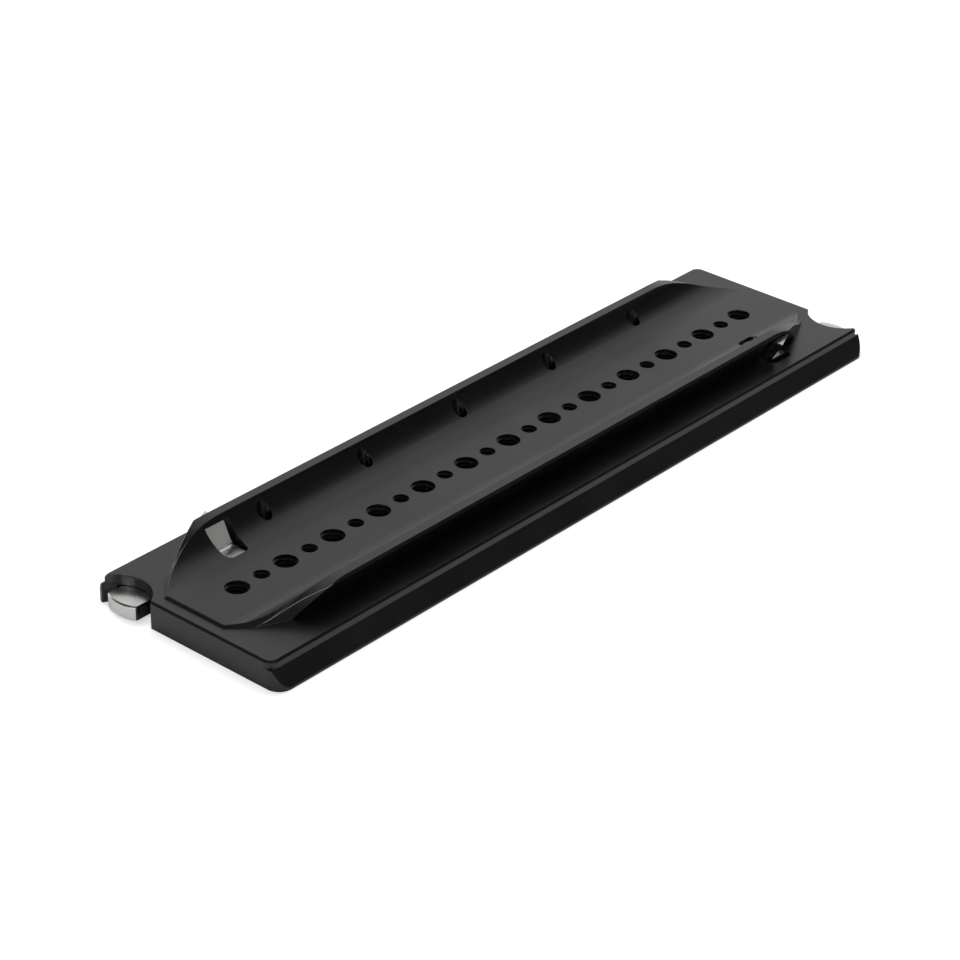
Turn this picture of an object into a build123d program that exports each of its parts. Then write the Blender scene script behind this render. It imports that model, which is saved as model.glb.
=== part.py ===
from build123d import *
import os
from math import asin, cos, degrees, radians, sin, sqrt, tan

# Dovetail plate: a long black anodised camera base plate with a dovetail rail on top, a wider
# dovetail at its foot, two rows of tapped holes and a sprung steel catch at each end.
# Millimetres. X runs along the plate, Z is up, and the origin is the middle of the underside.
# The front end is at -X. Everything at the rear end is the front end turned half a turn about Z.

# Base
plate_length = 354.0
base_thick = 11.4
base_top_width = 87.2
base_edge_chamfer = 0.8
base_band_height = 3.2
base_foot_height = 1.0
flank_angle = 30.0
slab_corner_radius = 4.0
flange_corner_radius = 6.0

# Rail
rail_height = 11.0
rail_width = 69.2
rail_edge_chamfer = 0.8
trough_floor_height = 1.0
trough_flat_width = 30.0
trough_radius = 16.0
rail_end_inset = 4.8
rail_front_width = 30.0
rail_diagonal_run = 7.9
rail_facet_angle = 24.0
ramp_angle = 26.5
ramp_foot_inset = 13.9
ramp_blend_radius = 52.0
corner_slope = 45.0
corner_blend_radius = 21.0
rail_root_depth = 1.0

# Tapped holes on the centre line, at their thread's major diameter
hole_pitch = 25.0
large_hole_count = 13
large_hole_diameter = 9.525
small_hole_diameter = 6.35

# Plain fixing holes in two rows that cut into the trough's walls
fixing_pitch = 55.0
fixing_count = 5
fixing_diameter = 6.0
fixing_row_offset = 25.8

# Thumb notch in each end
notch_radius = 14.3
notch_depth = 8.5
notch_offset = 30.2

# Catch lever
pivot_inset = 9.0
pivot_offset = 17.0
catch_swing = 7.5
lever_bottom = 0.9
lever_thick = 6.0
boss_radius = 5.4
arm_inner = 14.0
arm_outer = 22.0
button_offset = 31.0
button_width = 15.6
button_proud = 3.2
button_front_radius = 15.0
button_corner_radius = 1.2
button_back_inset = 7.0
button_break = 0.5
neck_inset = 15.0
stop_face_inset = 48.9
nib_length = 9.6
nib_foot_offset = 34.0
nib_top_height = 8.3
nib_inner_offset = 29.0
nib_inner_angle = 27.0
nib_root_radius = 3.5
block_top_drop = 0.2
block_corner_radius = 2.5

# Room for the catch under the plate
side_gap = 0.3
roof_gap = 0.2
nib_roof_gap = 0.3
window_inner = 15.8
window_outer = 37.4
pocket_corner_radius = 2.5

# Pivot screw
shoulder_diameter = 5.0
shoulder_fit = 0.05
shank_diameter = 4.0
shank_length = 3.1
screw_head_diameter = 8.0
screw_head_height = 2.2
screw_head_recess = 0.2
head_side_gap = 0.3
head_roof_gap = 0.1
socket_across = 3.0
socket_depth = 1.4

# Catch spring
spring_inset = 34.0
spring_diameter = 4.4
spring_wire = 0.7
spring_turns = 5
spring_hole_gap = 0.2
spring_plate_depth = 2.9
spring_lever_depth = 3.9
spring_end_gap = 0.05

# Sizes worked out from those above
half_length = plate_length / 2
flank_height = base_thick - base_band_height - base_foot_height
flange_width = base_top_width + 2 * flank_height * tan(radians(flank_angle))
plate_top = base_thick + rail_height
floor_top = base_thick + trough_floor_height
rail_foot_width = rail_width - 2 * (rail_height - rail_edge_chamfer) * tan(radians(flank_angle))
rail_front_x = half_length - rail_end_inset
facet_start_x = rail_front_x - rail_diagonal_run
facet_start_y = rail_front_width / 2 + rail_diagonal_run
pivot_x = pivot_inset - half_length
stop_face_x = stop_face_inset - half_length
nib_far_x = stop_face_x - nib_length
spring_x = spring_inset - half_length
lever_top = lever_bottom + lever_thick
lever_roof = lever_top + roof_gap
block_top = base_thick - block_top_drop
nib_top = base_thick + nib_top_height
stop_radius = stop_face_x - pivot_x
past = 5.0


def swung(x, y):
    """Where a point of the front catch lies when its button is fully pressed."""
    turn = radians(catch_swing)
    along = x - pivot_x
    across = y - pivot_offset
    return (
        pivot_x + along * cos(turn) + across * sin(turn),
        pivot_offset - along * sin(turn) + across * cos(turn),
    )


def stop_side_x(y):
    """The pocket's side that the stop face swings towards, at one distance from the centre line."""
    turn = radians(catch_swing)
    return pivot_x + (stop_radius + side_gap) / cos(turn) + (y - pivot_offset) * tan(turn)


def slab(width, radius, bottom, top):
    """A plate-long block with rounded upright corners."""
    outline = RectangleRounded(plate_length, width, radius)
    return Pos(0, 0, bottom) * extrude(outline, amount=top - bottom)


def along_x(points, start, length):
    """A solid of one Y and Z outline, drawn out along X."""
    outline = make_face(Polyline(*[(start, y, z) for y, z in points], close=True))
    return extrude(outline, amount=length, dir=(1, 0, 0))


def from_below(points, top, radius=0.0):
    """A milled pocket: a plan outline cut upwards from under the plate, with rounded corners."""
    outline = make_face(Polyline(*points, close=True))
    if radius > 0:
        outline = fillet(outline.vertices(), radius)
    return Pos(0, 0, -past) * extrude(outline, amount=top + past)


def from_below_round(x, y, radius, top):
    """A round hole cut upwards from under the plate."""
    return Pos(x, y, -past) * extrude(Circle(radius), amount=top + past)


def turned(shape):
    """The same thing at the rear end."""
    return Rot(0, 0, 180) * shape


# Base with its spreading flanks
def make_base():
    half_flange = flange_width / 2
    half_top = base_top_width / 2
    band_bottom = base_thick - base_band_height
    flange = along_x(
        [
            (-half_flange, 0),
            (half_flange, 0),
            (half_flange, base_foot_height),
            (half_top, band_bottom),
            (-half_top, band_bottom),
            (-half_flange, base_foot_height),
        ],
        -half_length,
        plate_length,
    )
    flange = flange & slab(flange_width, flange_corner_radius, 0, band_bottom)
    top = slab(base_top_width, slab_corner_radius, band_bottom, base_thick)
    top = chamfer(top.faces().sort_by(Axis.Z)[-1].edges(), base_edge_chamfer)
    return flange + top


# Rail: one cross section, cut to its plan and to its side view
def make_rail():
    half_foot = rail_foot_width / 2
    half_rail = rail_width / 2
    land_outer = half_rail - rail_edge_chamfer
    wall_rise = trough_radius + trough_floor_height - rail_height
    half_flat = trough_flat_width / 2
    land_inner = half_flat + sqrt(trough_radius ** 2 - wall_rise ** 2)
    edge_z = plate_top - rail_edge_chamfer
    root_z = base_thick - rail_root_depth
    wall_angle = degrees(asin(wall_rise / trough_radius))
    half = [
        Line((0, floor_top), (0, root_z)),
        Line((0, root_z), (half_foot, root_z)),
        Line((half_foot, root_z), (half_foot, base_thick)),
        Line((half_foot, base_thick), (half_rail, edge_z)),
        Line((half_rail, edge_z), (land_outer, plate_top)),
        Line((land_outer, plate_top), (land_inner, plate_top)),
        CenterArc((half_flat, floor_top + trough_radius), trough_radius, 270, 90 - wall_angle),
        Line((half_flat, floor_top), (0, floor_top)),
    ]
    side = Plane.YZ * make_face(half)
    bar = extrude(side, amount=half_length, both=True)
    bar = bar + mirror(bar, about=Plane.XZ)

    # Plan: straight front edge, diagonal corner and long facet, the same at both ends
    facet_run = (half_rail - facet_start_y) / tan(radians(rail_facet_angle))
    quarter = [
        (rail_front_x, rail_front_width / 2),
        (facet_start_x, facet_start_y),
        (facet_start_x - facet_run, half_rail),
    ]
    right = quarter + [(-x, y) for x, y in reversed(quarter)]
    plan = right + [(-x, -y) for x, y in right]
    footprint = extrude(make_face(Polyline(*plan, close=True)), amount=plate_top + past)
    bar = bar & footprint

    # Ends: each corner is cut away where it stands above both the ramp and the diagonal's slope
    for end in (0, 180):
        ramp = make_ramp_cut()
        for side in (1, -1):
            bar = bar - Rot(0, 0, end) * (make_corner_cut(side) & ramp)
        bar = bar - Rot(0, 0, end) * make_front_lip()
    return bar


# Ramp: seen from the side, the land blends into a straight slope down to the base
def make_ramp_cut():
    foot_x = half_length - ramp_foot_inset
    ramp = radians(ramp_angle)
    drop = ramp_blend_radius * (1 - cos(ramp))
    low_x = foot_x - (rail_height - drop) / tan(ramp)
    high_x = low_x - ramp_blend_radius * sin(ramp)
    profile = [
        CenterArc((high_x, plate_top - ramp_blend_radius), ramp_blend_radius, 90, -ramp_angle),
        Line((low_x, plate_top - drop), (foot_x, base_thick)),
        Line((foot_x, base_thick), (half_length + past, base_thick)),
        Line((half_length + past, base_thick), (half_length + past, plate_top + past)),
        Line((half_length + past, plate_top + past), (high_x, plate_top + past)),
        Line((high_x, plate_top + past), (high_x, plate_top)),
    ]
    return extrude(Plane.XZ * make_face(profile), amount=rail_width, both=True)


# Diagonal: a slope up from the base, blended into the land
def make_corner_cut(side):
    slope = radians(corner_slope)
    reach = rail_height / tan(slope) + corner_blend_radius * tan(slope / 2)
    run = reach - corner_blend_radius * sin(slope)
    rise = run * tan(slope)
    profile = [
        Line((past, base_thick), (0, base_thick)),
        Line((0, base_thick), (-run, base_thick + rise)),
        CenterArc((-reach, plate_top - corner_blend_radius), corner_blend_radius, 90 - corner_slope, corner_slope),
        Line((-reach, plate_top), (-reach, plate_top + past)),
        Line((-reach, plate_top + past), (past, plate_top + past)),
        Line((past, plate_top + past), (past, base_thick)),
    ]
    bar = extrude(Plane.XZ * make_face(profile), amount=rail_width, both=True)
    middle_x = (rail_front_x + facet_start_x) / 2
    middle_y = (rail_front_width / 2 + facet_start_y) / 2
    return Pos(middle_x, side * middle_y, 0) * Rot(0, 0, side * 45) * bar


# Small chamfer along the rail's straight front edge
def make_front_lip():
    wedge = [(-trough_floor_height, floor_top), (0, base_thick), (past, base_thick), (past, floor_top)]
    lip = Plane.XZ * make_face(Polyline(*wedge, close=True))
    return Pos(rail_front_x, 0, 0) * extrude(lip, amount=rail_width, both=True)


# Room for one catch, at the front end
def make_catch_room():
    low = swung(stop_face_x, arm_inner)[1] - side_gap
    arm_side = arm_outer + side_gap
    neck_x = swung(neck_inset - half_length, arm_outer)[0] + side_gap
    boss_low = pivot_offset - boss_radius - side_gap
    boss_far = pivot_x - boss_radius - side_gap
    button_far = swung(-half_length, button_offset + button_width / 2)[1] + side_gap
    bay = from_below(
        [(boss_far, boss_low), (neck_x, boss_low), (neck_x, button_far), (boss_far, button_far)],
        lever_roof,
        pocket_corner_radius,
    )
    channel = from_below(
        [(pivot_x, low), (stop_side_x(low), low), (stop_side_x(arm_side), arm_side), (pivot_x, arm_side)],
        lever_roof,
        pocket_corner_radius,
    )
    block_far = swung(nib_far_x, arm_inner)[0] - side_gap
    under_floor = from_below(
        [
            (block_far, low),
            (stop_side_x(low), low),
            (stop_side_x(arm_side), arm_side),
            (block_far, arm_side),
        ],
        block_top + roof_gap,
        pocket_corner_radius,
    )
    slot_far = nib_far_x - side_gap
    slot = from_below(
        [
            (slot_far, window_inner),
            (stop_side_x(window_inner), window_inner),
            (stop_side_x(window_outer), window_outer),
            (slot_far, window_outer),
        ],
        nib_top + nib_roof_gap,
        pocket_corner_radius,
    )
    screw_hole = from_below_round(pivot_x, pivot_offset, shank_diameter / 2, lever_roof + shank_length)
    spring_hole = spring_bore(low - spring_plate_depth, low + past)
    return [bay, channel, under_floor, slot, screw_hole, spring_hole]


def spring_bore(start_y, end_y):
    """The level bore that the spring sits in, between two distances from the centre line."""
    outline = Plane.XZ * Circle(spring_diameter / 2 + spring_hole_gap)
    bore = extrude(outline, amount=start_y - end_y)
    return Pos(spring_x, start_y, lever_bottom + lever_thick / 2) * bore


# Plate: base and rail in one piece, with every hole, notch and pocket
def make_plate():
    plate = make_base() + make_rail()
    tools = []
    for number in range(large_hole_count):
        x = (number - (large_hole_count - 1) / 2) * hole_pitch
        tools.append(from_below_round(x, 0, large_hole_diameter / 2, plate_top))
    for number in range(large_hole_count - 1):
        x = (number - (large_hole_count - 2) / 2) * hole_pitch
        tools.append(from_below_round(x, 0, small_hole_diameter / 2, plate_top))
    for number in range(fixing_count):
        x = (number - (fixing_count - 1) / 2) * fixing_pitch
        for y in (-fixing_row_offset, fixing_row_offset):
            tools.append(from_below_round(x, y, fixing_diameter / 2, plate_top + past))
    notch_x = notch_depth - notch_radius - half_length
    notch = from_below_round(notch_x, notch_offset, notch_radius, plate_top)
    for tool in [notch] + make_catch_room():
        tools += [tool, turned(tool)]
    return plate - tools


# Catch: thumb button, pivot boss, arm and the nib that stands out of the rail's flank
def make_catch():
    button_half = button_width / 2
    front_x = -half_length - button_proud
    corner_x = front_x + button_front_radius - sqrt(button_front_radius ** 2 - button_half ** 2)
    back_x = button_back_inset - half_length
    near = button_offset - button_half
    far = button_offset + button_half
    neck_x = neck_inset - half_length
    outline = [
        ThreePointArc((corner_x, far), (front_x, button_offset), (corner_x, near)),
        Line((corner_x, near), (pivot_x, near)),
        Line((pivot_x, near), (pivot_x, arm_inner)),
        Line((pivot_x, arm_inner), (stop_face_x, arm_inner)),
        Line((stop_face_x, arm_inner), (stop_face_x, arm_outer)),
        Line((stop_face_x, arm_outer), (neck_x, arm_outer)),
        Line((neck_x, arm_outer), (back_x, far)),
        Line((back_x, far), (corner_x, far)),
    ]
    lever = Pos(0, 0, lever_bottom) * extrude(make_face(outline), amount=lever_thick)
    front_corners = [e for e in lever.edges().filter_by(Axis.Z) if e.center().X < corner_x + past]
    lever = fillet(front_corners, button_corner_radius)
    rims = lever.faces().filter_by(Axis.Z).edges()
    lever = chamfer([e for e in rims if e.center().X < back_x], button_break)
    lever = lever + Pos(pivot_x, pivot_offset, lever_bottom) * extrude(Circle(boss_radius), amount=lever_thick)

    # Block and nib: one section across the plate, with a rounded root
    inner_foot = nib_inner_offset - (nib_top - block_top) * tan(radians(nib_inner_angle))
    nib_outer = nib_foot_offset + nib_top_height * tan(radians(flank_angle))
    section = Polyline(
        (arm_inner, lever_bottom),
        (nib_foot_offset, lever_bottom),
        (nib_foot_offset, base_thick),
        (nib_outer, nib_top),
        (nib_inner_offset, nib_top),
        (inner_foot, block_top),
        (arm_inner, block_top),
        close=True,
    )
    outline = make_face(section)
    root = [v for v in outline.vertices() if abs(v.X - inner_foot) < 1e-6 and abs(v.Y - block_top) < 1e-6]
    outline = fillet(root, nib_root_radius)
    block = Pos(nib_far_x, 0, 0) * extrude(Plane.YZ * outline, amount=nib_length)

    # Ramp on the nib's outer side, running in towards the plate's end
    over = nib_outer + past
    outside = make_face(
        Polyline(
            (stop_face_x, nib_foot_offset, base_thick),
            (stop_face_x, nib_outer, nib_top),
            (stop_face_x, over, nib_top),
            (stop_face_x, over, base_thick),
            close=True,
        )
    )
    ramp = radians(rail_facet_angle)
    ramp_length = (nib_length + past) / cos(ramp)
    block = block - extrude(outside, amount=ramp_length, dir=(-cos(ramp), -sin(ramp), 0))
    lever = lever + block
    corners = [e for e in lever.edges().filter_by(Axis.Z) if abs(e.center().Y - arm_inner) < 1e-6]
    corners = [e for e in corners if e.center().X > nib_far_x - pocket_corner_radius]
    lever = fillet(corners, block_corner_radius)

    # Bore and counterbore for the pivot screw, and the spring's blind bore
    bore = Pos(pivot_x, pivot_offset, lever_bottom) * extrude(
        Circle(shoulder_diameter / 2 + shoulder_fit), amount=lever_thick
    )
    recess_top = lever_bottom + screw_head_recess + screw_head_height + head_roof_gap
    recess = Pos(pivot_x, pivot_offset, 0) * extrude(
        Circle(screw_head_diameter / 2 + head_side_gap), amount=recess_top
    )
    return lever - bore - recess - spring_bore(arm_inner - past, arm_inner + spring_lever_depth)


# Pivot screw: low head with a hexagon socket, shoulder and threaded shank
def make_pivot():
    head_bottom = lever_bottom + screw_head_recess
    head_top = head_bottom + screw_head_height
    head = Pos(0, 0, head_bottom) * extrude(Circle(screw_head_diameter / 2), amount=screw_head_height)
    head = chamfer(head.faces().sort_by(Axis.Z)[0].edges(), screw_head_recess)
    shoulder = Pos(0, 0, head_top) * extrude(Circle(shoulder_diameter / 2), amount=lever_roof - head_top)
    shank = Pos(0, 0, lever_roof) * extrude(Circle(shank_diameter / 2), amount=shank_length)
    socket = Pos(0, 0, head_bottom) * extrude(
        RegularPolygon(socket_across / 2, 6, major_radius=False), amount=socket_depth
    )
    return Pos(pivot_x, pivot_offset, 0) * (head + shoulder + shank - socket)


# Catch spring: a coil that lies across the plate between two blind bores
def make_spring():
    low = swung(stop_face_x, arm_inner)[1] - side_gap - spring_plate_depth + spring_end_gap
    high = arm_inner + spring_lever_depth - spring_end_gap
    coil_height = high - low - spring_wire
    coil_radius = (spring_diameter - spring_wire) / 2
    path = Helix(
        pitch=coil_height / spring_turns,
        height=coil_height,
        radius=coil_radius,
        center=(0, low + spring_wire / 2, 0),
        direction=(0, 1, 0),
    )
    wire = Plane(origin=path @ 0, z_dir=path % 0) * Rectangle(spring_wire, spring_wire)
    coil = sweep(wire, path=path, is_frenet=True)
    return Pos(spring_x, 0, lever_bottom + lever_thick / 2) * coil


os.makedirs("parts", exist_ok=True)
export_step(make_plate(), "parts/plate.step")
for name, make_piece in (("catch", make_catch), ("catch_pivot", make_pivot), ("catch_spring", make_spring)):
    piece = make_piece()
    export_step(piece, f"parts/front_{name}.step")
    export_step(turned(piece), f"parts/rear_{name}.step")
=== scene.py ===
import math
import bmesh
import bpy
from mathutils import Matrix, Vector


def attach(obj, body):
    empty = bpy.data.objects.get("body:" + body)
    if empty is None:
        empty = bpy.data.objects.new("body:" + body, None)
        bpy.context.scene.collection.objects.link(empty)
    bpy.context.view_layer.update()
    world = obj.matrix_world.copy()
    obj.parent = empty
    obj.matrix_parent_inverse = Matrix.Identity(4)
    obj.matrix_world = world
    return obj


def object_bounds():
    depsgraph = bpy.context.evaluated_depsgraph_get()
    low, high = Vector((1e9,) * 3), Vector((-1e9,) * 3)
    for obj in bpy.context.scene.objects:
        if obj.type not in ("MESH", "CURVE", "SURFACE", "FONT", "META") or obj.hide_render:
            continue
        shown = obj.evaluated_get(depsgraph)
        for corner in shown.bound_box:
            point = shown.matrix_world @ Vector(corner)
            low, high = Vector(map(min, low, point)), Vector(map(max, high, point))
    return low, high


# A black anodised dovetail plate with a sprung steel catch at each end.
# The plate, catches, screws and springs come from the frame. This script gives them their
# finish, adds the thread ridges in the tapped holes, and sets the floor, light and camera.
# Sizes of the part are in millimetres, and everything handed to Blender is in metres.

MM = 0.001
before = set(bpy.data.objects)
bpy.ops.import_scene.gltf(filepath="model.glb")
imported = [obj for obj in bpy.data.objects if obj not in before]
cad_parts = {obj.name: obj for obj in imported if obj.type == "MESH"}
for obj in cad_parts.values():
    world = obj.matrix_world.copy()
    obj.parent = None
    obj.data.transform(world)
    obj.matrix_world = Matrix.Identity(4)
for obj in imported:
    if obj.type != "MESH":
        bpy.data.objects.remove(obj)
cad_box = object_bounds()

# Camera, at the photo's angle: place in metres, angles in degrees, lens and sensor in mm
CAMERA_PLACE = (-0.8068, -0.6819, 0.5951)
CAMERA_HEADING = 40.796
CAMERA_PITCH = 29.64
CAMERA_ROLL = 0.936
CAMERA_LENS = 114.93
CAMERA_SENSOR = 36.0

# Floor: reach in metres, drop and inset from the part's box in millimetres. The lifts are
# what it glows by itself, to the camera and in reflections.
FLOOR_REACH = 6.0
FLOOR_COLOUR = (0.86, 0.86, 0.86, 1.0)
FLOOR_ROUGHNESS = 0.9
FLOOR_DROP = 0.02
FLOOR_INSET = (14.0, 3.0)
FLOOR_LIFT = 0.55
FLOOR_SHEEN_LIFT = 0.04

# Room. Places in it are parts of a direction, from -1 to 1: "soft" is how far a band fades
# out past its ends, and "level" is how bright it is.
ROOM_LEVEL = 0.28
DARK_LEVEL = 0.045
PANEL = {"way": (0.80, 0.40, 0.50), "full": 0.90, "none": 0.72, "level": 0.74}
HORIZON = {"z": (0.14, 0.30), "soft": 0.12, "behind": (0.05, 0.45), "level": 0.98}
SIDE_STRIP = {"x": (-0.58, 0.04), "z": (0.28, 0.50), "soft": 0.08, "level": 4.5}
END_STRIP = {"y": (-0.18, -0.02), "z": (0.02, 0.46), "soft": 0.05, "level": 12.0}

# Lamp above: sides and place in metres, energy in watts
KEY_SIDES = (1.4, 1.0)
KEY_PLACE = (0.2, 0.5, 1.5)
KEY_ENERGY = 14.0

# Places on the part where a finish differs, in millimetres
NOTCH_CENTRE = (-182.8, 30.2)
NOTCH_RADIUS = 14.3
FIXING_PITCH = 55.0
FIXING_OFFSET = 25.8
FIXING_RADIUS = 3.0
FIXING_END = 140.0
WALL_TOLERANCE = 0.12
TROUGH_FLOOR = 12.4
RAIL_START = 11.5
RAIL_END_START = 136.0
TAB_END = 150.0

# Eased edges: the radius everywhere and what the rail's ends have on top, in millimetres.
# A worn edge, painted lighter as a highlight where it faces out and up, starts at a height, and
# its other rows say for which normals it begins and is full.
EDGE_RADIUS = 0.12
RAIL_END_RADIUS = 0.33
EDGE_SAMPLES = 6
WORN_AND_HIGHLIGHT_EDGE = {
    "start": 12.7,
    "turned": (0.999, 0.98),
    "out": (0.20, 0.42, 0.86, 0.905),
    "up": (0.05, 0.20),
    "shade": (0.50, 0.50, 0.49),
}

# Noises: grain in millimetres, detail and roughness. Their values lie mostly within a range.
NOISE_RANGE = (0.3, 0.7)
BLASTED = (0.35, 3.0, 0.6)
DYE_CLOUD = (28.0, 2.0, 0.5)
CUTTER_MARKS = (6.0, 2.0, 0.7)
BRUSH_LINES = (0.12, 3.0, 0.6)
STEEL_CLOUD = (6.0, 2.0, 0.5)

# Anodised black: depths of bumps in millimetres
BLASTED_DEPTH = 0.010
CUTTER_DEPTH = 0.10
CUTTER_STRETCH = (1, 1, 60)
DYE_THICK = (0.85, 0.85, 0.90)
DYE_THIN = (1.20, 1.18, 1.18)
ANODISED_UNEVEN = (-0.03, 0.03)
ANODISED_IOR = 1.6
PLATE_BLACK = {"shade": 0.0025, "gloss": 0.33}
# A darker copy of the plate's black for the thread ridges, as painted shade inside the holes
THREAD_SHADED_BLACK = {"shade": 0.002, "gloss": 0.30}
SCREW_BLACK = {"shade": 0.004, "gloss": 0.30}

# Steel: "stretch" sets the way it is brushed, and "depth" is the lines' depth in millimetres
LINE_SHADE = 0.86
STEEL_UNEVEN = (-0.04, 0.06)
INWARD_LIMIT = -0.6
GROUND_DULLNESS = 0.36
# Share of the steel's colour left on the faces beside the button: painted shade, nearly black
SIDE_PAINTED_SHADE = 0.05
CATCH_STEEL = {"shade": (0.80, 0.79, 0.77), "gloss": 0.24, "stretch": (5, 0.3, 5), "depth": 0.006}
SPRING_STEEL = {"shade": (0.50, 0.50, 0.49), "gloss": 0.28, "stretch": (1, 1, 1), "depth": 0.002}

# Tapped holes: thread sizes in millimetres
HOLE_PITCH = 25.0
LARGE_THREAD = {
    "name": "large_threads",
    "count": 13,
    "major": 9.525,
    "minor": 7.95,
    "pitch": 1.5875,
}
SMALL_THREAD = {
    "name": "small_threads",
    "count": 12,
    "major": 6.35,
    "minor": 5.1,
    "pitch": 1.27,
}
THREAD_STEPS = 40
THREAD_MARGIN = 0.05
THREAD_SUNK = 0.03
THREAD_FLAT = 1 / 16
THREAD_RUN_OUT = 0.5
THREAD_LEAST = 0.02


def new_material(name):
    """A new node material, its node tree and its shader."""
    material = bpy.data.materials.new(name)
    material.use_nodes = True
    tree = material.node_tree
    return material, tree, tree.nodes["Principled BSDF"]


def feed(tree, value, socket):
    """Gives an input what another node puts out, or a plain value."""
    if isinstance(value, bpy.types.NodeSocket):
        tree.links.new(value, socket)
    else:
        socket.default_value = value


def place_of(tree, stretch=(1, 1, 1)):
    """A point's place on the object, in metres, stretched for grain that runs one way."""
    coordinate = tree.nodes.new("ShaderNodeTexCoord")
    mapping = tree.nodes.new("ShaderNodeMapping")
    mapping.inputs["Scale"].default_value = stretch
    tree.links.new(coordinate.outputs["Object"], mapping.inputs["Vector"])
    return mapping.outputs["Vector"]


def parts_of(tree, vector):
    """A vector's X, Y and Z."""
    node = tree.nodes.new("ShaderNodeSeparateXYZ")
    tree.links.new(vector, node.inputs[0])
    return node.outputs


def normal_of(tree):
    """The way that the surface looks."""
    return tree.nodes.new("ShaderNodeNewGeometry").outputs["Normal"]


def agreement(tree, one, other):
    """The dot product of two directions: 1 where they are the same."""
    node = tree.nodes.new("ShaderNodeVectorMath")
    node.operation = "DOT_PRODUCT"
    feed(tree, one, node.inputs[0])
    feed(tree, other, node.inputs[1])
    return node.outputs["Value"]


def noise(tree, where, kind):
    """Noise of one grain, detail and roughness."""
    grain, detail, roughness = kind
    node = tree.nodes.new("ShaderNodeTexNoise")
    node.inputs["Scale"].default_value = 1.0 / (grain * MM)
    node.inputs["Detail"].default_value = detail
    node.inputs["Roughness"].default_value = roughness
    tree.links.new(where, node.inputs["Vector"])
    return node.outputs["Fac"]


def spread(tree, factor, middle, uneven):
    """The noise spread around a number."""
    node = tree.nodes.new("ShaderNodeMapRange")
    node.inputs["From Min"].default_value, node.inputs["From Max"].default_value = NOISE_RANGE
    node.inputs["To Min"].default_value = middle + uneven[0]
    node.inputs["To Max"].default_value = middle + uneven[1]
    tree.links.new(factor, node.inputs["Value"])
    return node.outputs["Result"]


def ramp(tree, value, none, full, kind="LINEAR"):
    """0 at one value and 1 at another."""
    node = tree.nodes.new("ShaderNodeMapRange")
    node.interpolation_type = kind
    node.inputs["From Min"].default_value = none
    node.inputs["From Max"].default_value = full
    tree.links.new(value, node.inputs["Value"])
    return node.outputs["Result"]


def within(tree, value, ends, soft):
    """1 between two values, fading out past each of them."""
    low, high = ends
    rise = ramp(tree, value, low - soft, low, "SMOOTHSTEP")
    fall = ramp(tree, value, high + soft, high, "SMOOTHSTEP")
    return calc(tree, "MULTIPLY", rise, fall)


def mixed(tree, factor, *colours):
    """A colour between two, written out or from a socket, by a factor."""
    node = tree.nodes.new("ShaderNodeMix")
    node.data_type = "RGBA"
    # The node's inputs of one name differ by type, so its colours are taken by their places
    for socket, colour in zip((node.inputs[6], node.inputs[7]), colours):
        feed(tree, (*colour, 1.0) if isinstance(colour, tuple) else colour, socket)
    tree.links.new(factor, node.inputs[0])
    return node.outputs[2]


def soft_edges(tree, radius):
    """Normals that round the sharp edges off a little, by a radius in metres or a socket."""
    node = tree.nodes.new("ShaderNodeBevel")
    node.samples = EDGE_SAMPLES
    feed(tree, radius, node.inputs["Radius"])
    return node.outputs["Normal"]


def bump(tree, height, depth_mm, under):
    """A bump of a real depth, over the normal given."""
    node = tree.nodes.new("ShaderNodeBump")
    node.inputs["Strength"].default_value = 1.0
    node.inputs["Distance"].default_value = depth_mm * MM
    tree.links.new(height, node.inputs["Height"])
    tree.links.new(under, node.inputs["Normal"])
    return node.outputs["Normal"]


def calc(tree, kind, *values):
    """One sum of numbers or sockets. More than two are taken together one after another."""
    if len(values) > 2:
        values = (calc(tree, kind, *values[:-1]), values[-1])
    node = tree.nodes.new("ShaderNodeMath")
    node.operation = kind
    for socket, value in zip(node.inputs, values):
        feed(tree, value, socket)
    return node.outputs[0]


def above(tree, z, height_mm):
    """1 above a height, 0 below it."""
    return calc(tree, "GREATER_THAN", z, height_mm * MM)


def worn_and_highlight_edges(tree, edges, y, where):
    """1 on eased edges that look out to the side and up, where the black is rubbed thin and
    painted lighter as a highlight.
    """
    turned = ramp(tree, agreement(tree, edges, normal_of(tree)), *WORN_AND_HIGHLIGHT_EDGE["turned"])
    way = parts_of(tree, edges)
    outward = calc(tree, "MULTIPLY", way["Y"], calc(tree, "SIGN", y))
    low, begin, end, high = WORN_AND_HIGHLIGHT_EDGE["out"]
    rise = ramp(tree, outward, low, begin)
    fall = ramp(tree, outward, high, end)
    upward = ramp(tree, way["Z"], *WORN_AND_HIGHLIGHT_EDGE["up"])
    return calc(tree, "MULTIPLY", turned, rise, fall, upward, where)


def far_from(tree, x, y):
    """The length of a flat vector."""
    squares = [calc(tree, "MULTIPLY", side, side) for side in (x, y)]
    return calc(tree, "SQRT", calc(tree, "ADD", *squares))


def on_wall(tree, distance, radius_mm):
    """1 on a round upright wall, 0 elsewhere."""
    off = calc(tree, "ABSOLUTE", calc(tree, "SUBTRACT", distance, radius_mm * MM))
    return calc(tree, "LESS_THAN", off, WALL_TOLERANCE * MM)


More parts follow.
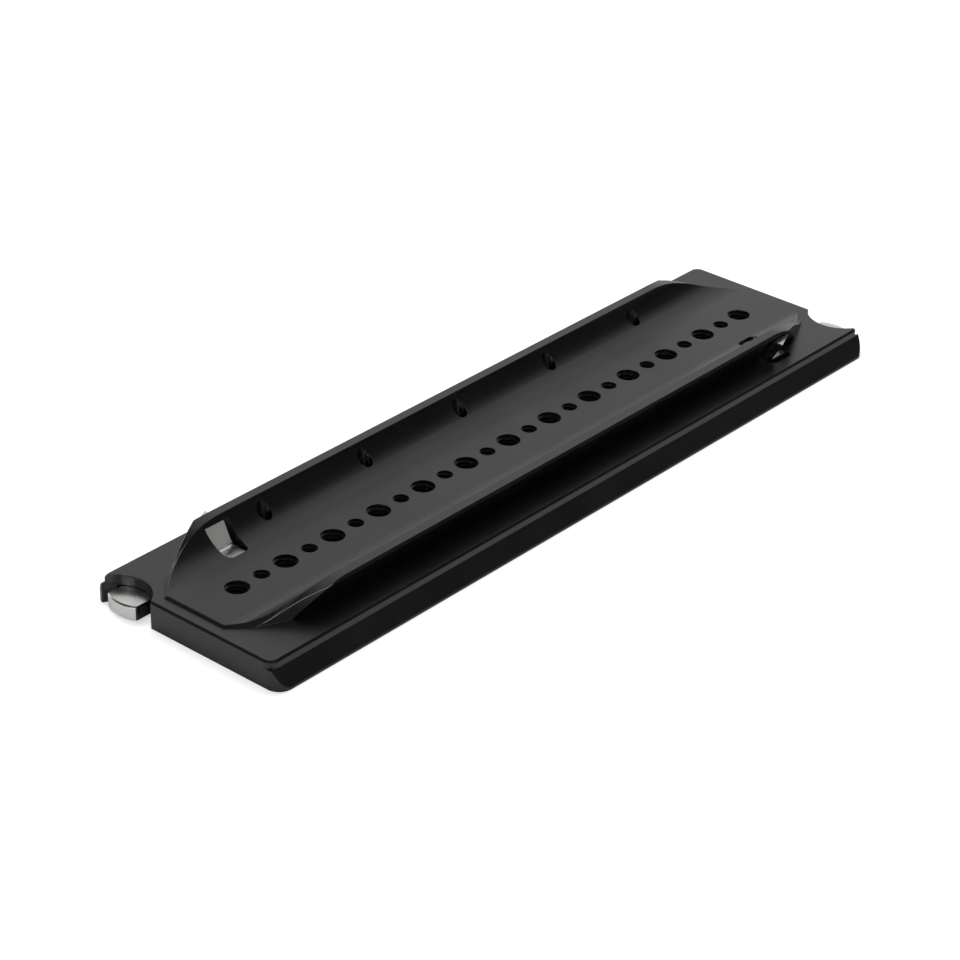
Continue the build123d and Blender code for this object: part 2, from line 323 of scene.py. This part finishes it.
def machined_walls(tree, x, y):
    """1 on the walls of the thumb notches and the fixing holes, which a round cutter left."""
    cx, cy = NOTCH_CENTRE
    walls = []
    for turn in (1, -1):
        from_x = calc(tree, "SUBTRACT", x, turn * cx * MM)
        from_y = calc(tree, "SUBTRACT", y, turn * cy * MM)
        walls.append(on_wall(tree, far_from(tree, from_x, from_y), NOTCH_RADIUS))
    pitch = FIXING_PITCH * MM
    step = calc(tree, "ROUND", calc(tree, "DIVIDE", x, pitch))
    from_x = calc(tree, "SUBTRACT", x, calc(tree, "MULTIPLY", step, pitch))
    from_y = calc(tree, "SUBTRACT", calc(tree, "ABSOLUTE", y), FIXING_OFFSET * MM)
    fixing = on_wall(tree, far_from(tree, from_x, from_y), FIXING_RADIUS)
    inside = calc(tree, "LESS_THAN", calc(tree, "ABSOLUTE", x), FIXING_END * MM)
    walls.append(calc(tree, "MULTIPLY", fixing, inside))
    return calc(tree, "MAXIMUM", *walls)


def anodised(name, shade, gloss):
    """Black anodised aluminium: near black, satin, with a fine blasted grain."""
    material, tree, shader = new_material(name)
    where = place_of(tree)
    x, y, z = parts_of(tree, where)
    grain = noise(tree, where, BLASTED)
    cloud = noise(tree, where, DYE_CLOUD)
    colours = [tuple(shade * part for part in dye) for dye in (DYE_THICK, DYE_THIN)]
    colour = mixed(tree, cloud, *colours)
    tree.links.new(spread(tree, cloud, gloss, ANODISED_UNEVEN), shader.inputs["Roughness"])

    # Edges are eased most at the rail's ends
    at_end = calc(tree, "GREATER_THAN", calc(tree, "ABSOLUTE", x), RAIL_END_START * MM)
    eased = calc(tree, "MULTIPLY", at_end, above(tree, z, RAIL_START))
    more = calc(tree, "MULTIPLY", eased, RAIL_END_RADIUS * MM)
    edges = soft_edges(tree, calc(tree, "ADD", EDGE_RADIUS * MM, more))
    # The rail's eased edges that face out and up are painted lighter: wear, and a painted
    # highlight
    wear_and_highlight_area = calc(tree, "MULTIPLY", at_end, above(tree, z, WORN_AND_HIGHLIGHT_EDGE["start"]))
    wear_and_highlight = worn_and_highlight_edges(tree, edges, y, wear_and_highlight_area)
    tree.links.new(mixed(tree, wear_and_highlight, colour, WORN_AND_HIGHLIGHT_EDGE["shade"]), shader.inputs["Base Color"])

    # Level cutter marks on the round walls, over the fine grain
    marks = noise(tree, place_of(tree, CUTTER_STRETCH), CUTTER_MARKS)
    marks = calc(tree, "MULTIPLY", marks, machined_walls(tree, x, y))
    grained = bump(tree, grain, BLASTED_DEPTH, edges)
    tree.links.new(bump(tree, marks, CUTTER_DEPTH, grained), shader.inputs["Normal"])
    shader.inputs["IOR"].default_value = ANODISED_IOR
    return material


def inward_faces(tree):
    """1 on a catch's faces that look to the plate's middle: on its stop tab, and elsewhere, where
    they get painted shade.
    """
    place = parts_of(tree, place_of(tree))
    normal = parts_of(tree, normal_of(tree))
    inward = calc(tree, "MULTIPLY", normal["Y"], calc(tree, "SIGN", place["Y"]))
    on_tab = calc(tree, "LESS_THAN", calc(tree, "ABSOLUTE", place["X"]), TAB_END * MM)
    turned = calc(tree, "LESS_THAN", inward, INWARD_LIMIT)
    tab = calc(tree, "MULTIPLY", turned, on_tab)
    return tab, calc(tree, "SUBTRACT", turned, tab)


def brushed(name, shade, gloss, stretch, depth):
    """Steel brushed one way and ground dull on the stop tab, with painted shade, nearly black, on
    the faces beside the button.
    """
    material, tree, shader = new_material(name)
    lines = noise(tree, place_of(tree, stretch), BRUSH_LINES)
    cloud = noise(tree, place_of(tree), STEEL_CLOUD)
    tab, side = inward_faces(tree)
    # The inward faces beside the button are painted nearly black, as shade
    in_lines, painted_dark_sides = (tuple(c * part for c in shade) for part in (LINE_SHADE, SIDE_PAINTED_SHADE))
    colour = mixed(tree, side, mixed(tree, lines, in_lines, shade), painted_dark_sides)
    tree.links.new(colour, shader.inputs["Base Color"])
    polish = spread(tree, cloud, gloss, STEEL_UNEVEN)
    dull = calc(tree, "MULTIPLY", tab, GROUND_DULLNESS)
    tree.links.new(calc(tree, "ADD", polish, dull), shader.inputs["Roughness"])
    scored = bump(tree, lines, depth, soft_edges(tree, EDGE_RADIUS * MM))
    tree.links.new(scored, shader.inputs["Normal"])
    shader.inputs["Metallic"].default_value = 1.0
    return material


def dress(node, material):
    """Gives one of the frame's nodes its material."""
    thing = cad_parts[node]
    slots = thing.material_slots
    if not slots:
        thing.data.materials.append(material)
    for slot in slots:
        slot.material = material


def put_in_scene(name, data):
    """A new object in the scene."""
    thing = bpy.data.objects.new(name, data)
    bpy.context.scene.collection.objects.link(thing)
    return thing


def mesh_object(name, mesh):
    """An object made from a mesh being edited."""
    data = bpy.data.meshes.new(name)
    mesh.to_mesh(data)
    mesh.free()
    return put_in_scene(name, data)


def thread_ring(thread, x, low, high, mesh):
    """One helical ridge on the wall of one hole, from low to high, tapering off at both ends."""
    major = thread["major"] / 2
    minor = thread["minor"] / 2
    pitch = thread["pitch"]
    flat = pitch * THREAD_FLAT
    foot = pitch / 2 - flat
    root = major + THREAD_SUNK
    count = int((high - low - pitch) / pitch * THREAD_STEPS)
    rows = []
    for step in range(count + 1):
        angle = 2 * math.pi * step / THREAD_STEPS
        middle = low + pitch / 2 + pitch * step / THREAD_STEPS
        to_end = min(step, count - step) / THREAD_STEPS / THREAD_RUN_OUT
        crest = major - (major - minor) * max(min(1.0, to_end), THREAD_LEAST)
        profile = (
            (root, middle - foot),
            (crest, middle - flat),
            (crest, middle + flat),
            (root, middle + foot),
        )
        places = [
            ((x + r * math.cos(angle)) * MM, r * math.sin(angle) * MM, z * MM)
            for r, z in profile
        ]
        rows.append([mesh.verts.new(place) for place in places])
    for lower, upper in zip(rows, rows[1:]):
        for k in range(len(lower)):
            after = (k + 1) % len(lower)
            mesh.faces.new((lower[k], lower[after], upper[after], upper[k]))
    mesh.faces.new(tuple(reversed(rows[0])))
    mesh.faces.new(tuple(rows[-1]))


def make_threads(thread, material, top):
    """The thread ridges of all the holes of one size, as one piece."""
    mesh = bmesh.new()
    for number in range(thread["count"]):
        x = (number - (thread["count"] - 1) / 2) * HOLE_PITCH
        thread_ring(thread, x, THREAD_MARGIN, top - THREAD_MARGIN, mesh)
    bmesh.ops.recalc_face_normals(mesh, faces=mesh.faces)
    piece = mesh_object(thread["name"], mesh)
    for face in piece.data.polygons:
        face.use_smooth = False
    piece.data.materials.append(material)
    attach(piece, "plate_body")


def make_camera():
    """The photo's camera, turned by its heading, pitch and roll."""
    heading = math.radians(CAMERA_HEADING)
    pitch = math.radians(CAMERA_PITCH)
    ahead = Vector(
        (
            math.cos(pitch) * math.cos(heading),
            math.cos(pitch) * math.sin(heading),
            -math.sin(pitch),
        )
    )
    level_right = ahead.cross(Vector((0, 0, 1))).normalized()
    right = Matrix.Rotation(-math.radians(CAMERA_ROLL), 3, ahead) @ level_right
    up = right.cross(ahead)
    data = bpy.data.cameras.new("camera")
    data.lens = CAMERA_LENS
    data.sensor_width = CAMERA_SENSOR
    camera = put_in_scene("camera", data)
    turn = Matrix((right, up, -ahead)).transposed().to_4x4()
    camera.matrix_world = Matrix.Translation(CAMERA_PLACE) @ turn
    bpy.context.scene.camera = camera


def make_floor():
    """A pale floor just under the plate, open inside its outline and seen only from above."""
    mesh = bmesh.new()
    corners = ((-1, -1), (1, -1), (1, 1), (-1, 1))
    half = [cad_box[1][k] - FLOOR_INSET[k] * MM for k in (0, 1)]
    low = -FLOOR_DROP * MM
    outer = [mesh.verts.new((FLOOR_REACH * i, FLOOR_REACH * j, low)) for i, j in corners]
    inner = [mesh.verts.new((half[0] * i, half[1] * j, low)) for i, j in corners]
    for k in range(len(corners)):
        after = (k + 1) % len(corners)
        mesh.faces.new((outer[k], outer[after], inner[after], inner[k]))
    floor = mesh_object("floor", mesh)
    material, tree, shader = new_material("floor")
    shader.inputs["Base Color"].default_value = FLOOR_COLOUR
    shader.inputs["Roughness"].default_value = FLOOR_ROUGHNESS
    shader.inputs["Specular IOR Level"].default_value = 0.0

    # It glows white to the camera and a little in reflections
    path = tree.nodes.new("ShaderNodeLightPath")
    to_camera = calc(tree, "MULTIPLY", path.outputs["Is Camera Ray"], FLOOR_LIFT)
    in_gloss = calc(tree, "MULTIPLY", reflects(tree, path), FLOOR_SHEEN_LIFT)
    glow = tree.nodes.new("ShaderNodeEmission")
    tree.links.new(calc(tree, "MAXIMUM", to_camera, in_gloss), glow.inputs["Strength"])
    both = tree.nodes.new("ShaderNodeAddShader")
    tree.links.new(shader.outputs[0], both.inputs[0])
    tree.links.new(glow.outputs[0], both.inputs[1])

    # It is clear to the camera from below, so that the underside can be looked at
    clear = tree.nodes.new("ShaderNodeBsdfTransparent")
    from_below = tree.nodes.new("ShaderNodeNewGeometry").outputs["Backfacing"]
    sides = tree.nodes.new("ShaderNodeMixShader")
    seen_below = calc(tree, "MULTIPLY", from_below, path.outputs["Is Camera Ray"])
    tree.links.new(seen_below, sides.inputs[0])
    tree.links.new(both.outputs[0], sides.inputs[1])
    tree.links.new(clear.outputs[0], sides.inputs[2])
    tree.links.new(sides.outputs[0], tree.nodes["Material Output"].inputs["Surface"])
    floor.data.materials.append(material)


def reflects(tree, path):
    """1 for a ray that a glossy or clear surface sends on."""
    kinds = ("Is Glossy Ray", "Is Transmission Ray")
    return calc(tree, "MAXIMUM", *(path.outputs[kind] for kind in kinds))


def strip(tree, way, light, across, behind):
    """A long narrow lamp on the side of the room where one part of the direction is negative."""
    tall = within(tree, way["Z"], light["z"], light["soft"])
    wide = within(tree, way[across.upper()], light[across], light["soft"])
    on_side = calc(tree, "LESS_THAN", way[behind], 0.0)
    return calc(tree, "MULTIPLY", tall, wide, on_side, light["level"])


def make_room():
    """White to the camera, an even level on the object, and a studio of panels for gloss."""
    world = bpy.data.worlds.new("room")
    bpy.context.scene.world = world
    world.use_nodes = True
    tree = world.node_tree
    back = tree.nodes["Background"]
    path = tree.nodes.new("ShaderNodeLightPath")
    direction = tree.nodes.new("ShaderNodeTexCoord").outputs["Generated"]
    way = parts_of(tree, direction)

    # Gloss sees a panel, a low bright horizon behind and two strips, in a dark room
    near_panel = agreement(tree, direction, Vector(PANEL["way"]).normalized())
    panel = ramp(tree, near_panel, PANEL["none"], PANEL["full"], "SMOOTHSTEP")
    low = within(tree, way["Z"], HORIZON["z"], HORIZON["soft"])
    behind = ramp(tree, way["Y"], *HORIZON["behind"], "SMOOTHSTEP")
    gloss_level = calc(
        tree,
        "MAXIMUM",
        calc(tree, "MULTIPLY", panel, PANEL["level"]),
        calc(tree, "MULTIPLY", low, behind, HORIZON["level"]),
        strip(tree, way, SIDE_STRIP, "x", "Y"),
        strip(tree, way, END_STRIP, "y", "X"),
        DARK_LEVEL,
    )
    shows = reflects(tree, path)
    in_gloss = calc(tree, "MULTIPLY", gloss_level, shows)
    elsewhere = calc(tree, "MULTIPLY", calc(tree, "SUBTRACT", 1.0, shows), ROOM_LEVEL)
    unseen_level = calc(tree, "ADD", in_gloss, elsewhere)
    level = calc(tree, "MAXIMUM", unseen_level, path.outputs["Is Camera Ray"])
    tree.links.new(level, back.inputs["Strength"])
    back.inputs["Color"].default_value = (1.0, 1.0, 1.0, 1.0)


def make_key():
    """One large soft lamp above, which doesn't show in reflections."""
    data = bpy.data.lights.new("key", "AREA")
    data.shape = "RECTANGLE"
    data.size, data.size_y = KEY_SIDES
    data.energy = KEY_ENERGY
    key = put_in_scene("key", data)
    key.location = KEY_PLACE
    key.rotation_euler = (-Vector(KEY_PLACE)).to_track_quat("-Z", "Y").to_euler()
    key.visible_glossy = False


# Finishes
black = anodised("black_anodised", **PLATE_BLACK)
# The threads' black is darker than the plate's: painted shade in the holes
threads_shaded_black = anodised("threads_shaded_black", **THREAD_SHADED_BLACK)
steel = brushed("catch_steel", **CATCH_STEEL)
screw_black = anodised("screw_black", **SCREW_BLACK)
spring_steel = brushed("spring_steel", **SPRING_STEEL)
dress("plate", black)
for end in ("front", "rear"):
    dress(f"{end}_catch", steel)
    dress(f"{end}_catch_pivot", screw_black)
    dress(f"{end}_catch_spring", spring_steel)

# Threads
for thread in (LARGE_THREAD, SMALL_THREAD):
    make_threads(thread, threads_shaded_black, TROUGH_FLOOR)

# Studio
make_camera()
make_floor()
make_room()
make_key()
bpy.context.scene.view_settings.view_transform = "Standard"
